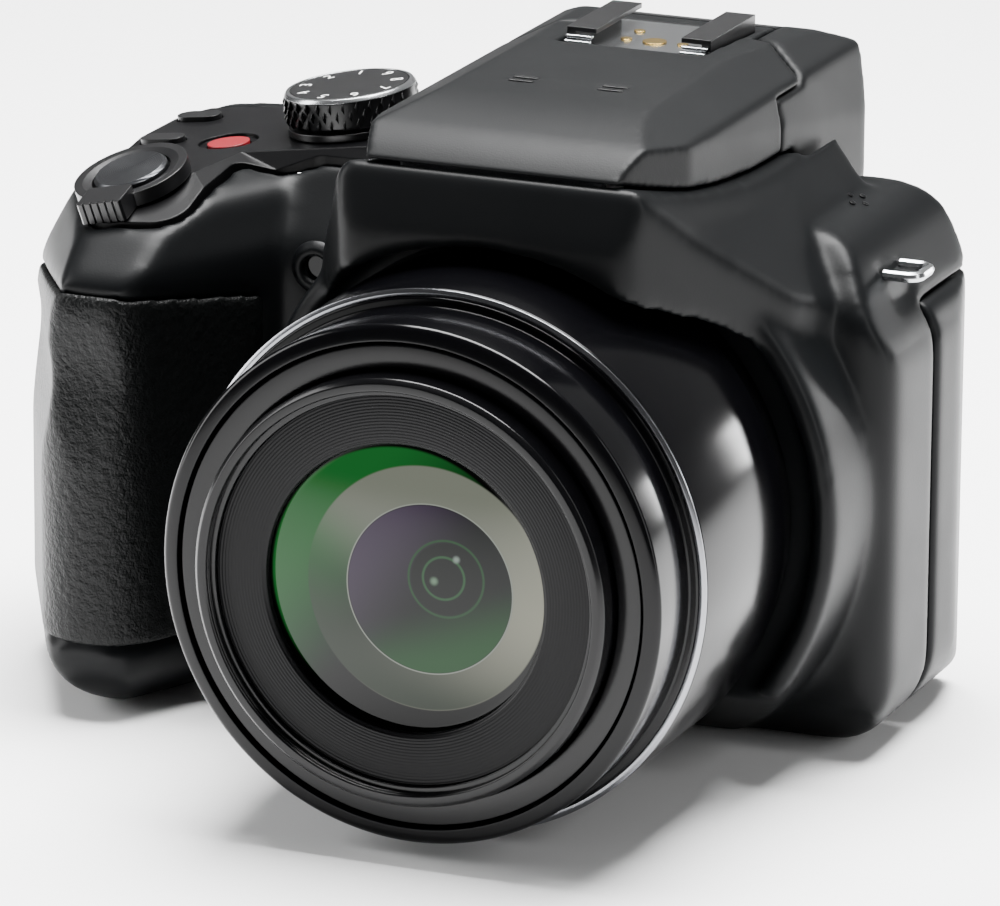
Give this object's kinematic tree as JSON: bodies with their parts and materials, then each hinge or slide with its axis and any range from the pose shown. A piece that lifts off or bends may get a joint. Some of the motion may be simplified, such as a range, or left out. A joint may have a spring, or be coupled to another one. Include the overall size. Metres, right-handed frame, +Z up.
{
  "type": "bridge camera",
  "caption": "Compact camera body with a grip, a retractable zoom lens, a flash head that tilts up and carries the accessory shoe, a mode dial, a viewfinder and a screen.",
  "frame": {"origin": "mouth of the tripod socket in the base, straight below the lens axis", "axes": "+Z up, the lens points along -Y, +X is the camera's own left side"},
  "size_m": [0.1302, 0.1192, 0.0943],
  "materials": {
    "body_shell": "fine textured black moulding",
    "flash_lid": "fine textured dark grey moulding",
    "deck": "fine textured black moulding",
    "grip_rubber": "leather-grained soft rubber",
    "lens_barrel": "satin black moulding",
    "inner_barrel": "satin black moulding",
    "name_ring": "matte black, fine rings",
    "chrome": "polished",
    "coated_glass": "green and violet anti-reflection coating",
    "clear_glass": "clear",
    "black_metal": "black anodised and knurled",
    "dial_face": "dark, finely turned",
    "button": "satin black",
    "red_button": "gloss red",
    "eyecup": "matte soft rubber",
    "steel": "bright plated",
    "frame_metal": "stamped",
    "brass": "gilded contact",
    "circuit_board": "green solder mask",
    "white_plastic": "bright",
    "battery_case": "smooth"
  },
  "bodies": {
    "root": {"front_cover": "body_shell", "rear_cover": "body_shell", "top_cover": "deck", "grip_rubber": "grip_rubber", "evf_housing": "flash_lid", "evf_module": "inner_barrel", "eyepiece_lens": "clear_glass", "eyecup": "eyecup", "flash_hinge_pin": "steel", "fixed_barrel": "lens_barrel", "chrome_ring": "chrome", "lcd_window": "clear_glass", "lcd_panel": "inner_barrel", "chassis": "frame_metal", "main_board": "circuit_board", "image_sensor": "inner_barrel", "zoom_motor": "steel", "flash_capacitor": "battery_case", "speaker": "inner_barrel", "tripod_nut": "steel", "cover_screws": "steel", "strap_eyelets": "steel", "af_lamp_window": "clear_glass", "battery_compartment": "body_shell", "battery": "battery_case", "memory_card": "battery_case"},
    "flash_head": {"flash_head": "flash_lid", "flash_window": "clear_glass", "flash_reflector": "white_plastic", "shoe_plate": "steel", "shoe_rails": "steel", "shoe_contacts": "brass"},
    "mode_dial": {"mode_dial": "black_metal", "dial_face": "dial_face"},
    "middle_barrel": {"middle_barrel": "inner_barrel"},
    "front_barrel": {"front_barrel": "inner_barrel", "name_ring": "name_ring", "front_lens": "coated_glass", "inner_lens": "coated_glass"},
    "power_lever": {"power_lever": "black_metal"},
    "zoom_lever": {"zoom_lever": "black_metal"},
    "shutter_button": {"shutter_button": "black_metal"},
    "record_button": {"record_button": "red_button"},
    "function_button_front": {"function_button_front": "button"},
    "function_button_rear": {"function_button_rear": "button"},
    "thumb_dial": {"thumb_dial": "black_metal"},
    "viewfinder_button": {"viewfinder_button": "button"},
    "lock_button": {"lock_button": "button"},
    "play_button": {"play_button": "button"},
    "display_button": {"display_button": "button"},
    "erase_button": {"erase_button": "button"},
    "set_key": {"set_key": "button"},
    "left_key": {"left_key": "button"},
    "up_key": {"up_key": "button"},
    "right_key": {"right_key": "button"},
    "down_key": {"down_key": "button"},
    "diopter_dial": {"diopter_dial": "black_metal"},
    "battery_door": {"battery_door": "body_shell"},
    "battery_latch": {"battery_latch": "button"},
    "terminal_door": {"terminal_door": "eyecup"}
  },
  "joints": [
    {"name": "flash_lift", "type": "hinge", "parent": "root", "child": "flash_head", "pos_m": [0, 0.02, 0.0894], "axis": [-1, 0, 0], "range_deg": [0, 30]},
    {"name": "zoom_middle", "type": "slide", "parent": "root", "child": "middle_barrel", "axis": [0, -1, 0], "range_m": [0, 0.032]},
    {"name": "zoom_front", "type": "slide", "parent": "middle_barrel", "child": "front_barrel", "axis": [0, -1, 0], "range_m": [0, 0.032]},
    {"name": "mode_turn", "type": "hinge", "parent": "root", "child": "mode_dial", "pos_m": [-0.043, 0.0005, 0.0763], "axis": [-0.1218, -0.0346, 0.992], "continuous": true},
    {"name": "power_turn", "type": "hinge", "parent": "root", "child": "power_lever", "pos_m": [-0.043, 0.0005, 0.0763], "axis": [-0.1218, -0.0346, 0.992], "range_deg": [0, 35]},
    {"name": "zoom_lever_turn", "type": "hinge", "parent": "root", "child": "zoom_lever", "pos_m": [-0.065, -0.025, 0.0716], "axis": [-0.1996, -0.252, 0.9469], "range_deg": [-15, 15], "stiffness_Nm_per_rad": 0.02},
    {"name": "shutter_press", "type": "slide", "parent": "root", "child": "shutter_button", "axis": [0.1996, 0.252, -0.9469], "range_m": [0, 0.0011], "stiffness_N_per_m": 500},
    {"name": "record_press", "type": "slide", "parent": "root", "child": "record_button", "axis": [0.1218, 0.0346, -0.992], "range_m": [0, 0.0004], "stiffness_N_per_m": 400},
    {"name": "function_front_press", "type": "slide", "parent": "root", "child": "function_button_front", "axis": [0.1218, 0.0346, -0.992], "range_m": [0, 0.0005], "stiffness_N_per_m": 400},
    {"name": "function_rear_press", "type": "slide", "parent": "root", "child": "function_button_rear", "axis": [0.1218, 0.0346, -0.992], "range_m": [0, 0.0005], "stiffness_N_per_m": 400},
    {"name": "thumb_dial_turn", "type": "hinge", "parent": "root", "child": "thumb_dial", "pos_m": [-0.066, 0.0165, 0.064], "axis": [0, 0, 1], "continuous": true},
    {"name": "diopter_turn", "type": "hinge", "parent": "root", "child": "diopter_dial", "pos_m": [-0.0238, 0.0215, 0.0765], "axis": [1, 0, 0], "range_deg": [-150, 150]},
    {"name": "viewfinder_press", "type": "slide", "parent": "root", "child": "viewfinder_button", "axis": [0, -1, 0], "range_m": [0, 0.0005], "stiffness_N_per_m": 400},
    {"name": "lock_press", "type": "slide", "parent": "root", "child": "lock_button", "axis": [0, -1, 0], "range_m": [0, 0.0005], "stiffness_N_per_m": 400},
    {"name": "play_press", "type": "slide", "parent": "root", "child": "play_button", "axis": [0, -1, 0], "range_m": [0, 0.0005], "stiffness_N_per_m": 400},
    {"name": "display_press", "type": "slide", "parent": "root", "child": "display_button", "axis": [0, -1, 0], "range_m": [0, 0.0005], "stiffness_N_per_m": 400},
    {"name": "erase_press", "type": "slide", "parent": "root", "child": "erase_button", "axis": [0, -1, 0], "range_m": [0, 0.0005], "stiffness_N_per_m": 400},
    {"name": "set_key_press", "type": "slide", "parent": "root", "child": "set_key", "axis": [0, -1, 0], "range_m": [0, 0.0005], "stiffness_N_per_m": 400},
    {"name": "left_key_press", "type": "slide", "parent": "root", "child": "left_key", "axis": [0, -1, 0], "range_m": [0, 0.0005], "stiffness_N_per_m": 400},
    {"name": "up_key_press", "type": "slide", "parent": "root", "child": "up_key", "axis": [0, -1, 0], "range_m": [0, 0.0005], "stiffness_N_per_m": 400},
    {"name": "right_key_press", "type": "slide", "parent": "root", "child": "right_key", "axis": [0, -1, 0], "range_m": [0, 0.0005], "stiffness_N_per_m": 400},
    {"name": "down_key_press", "type": "slide", "parent": "root", "child": "down_key", "axis": [0, -1, 0], "range_m": [0, 0.0005], "stiffness_N_per_m": 400},
    {"name": "battery_door_swing", "type": "hinge", "parent": "root", "child": "battery_door", "pos_m": [-0.0635, 0.0124, 0.0019], "axis": [1, 0, 0], "range_deg": [0, 100]},
    {"name": "battery_latch_slide", "type": "slide", "parent": "battery_door", "child": "battery_latch", "axis": [0, 1, 0], "range_m": [0, 0.003]},
    {"name": "terminal_door_swing", "type": "hinge", "parent": "root", "child": "terminal_door", "pos_m": [-0.0804, 0.016, 0.03], "axis": [0, 0, -1], "range_deg": [0, 95]}
  ],
  "couplings": [
    {"joint": "zoom_front", "follows": "zoom_middle", "ratio": 1}
  ]
}
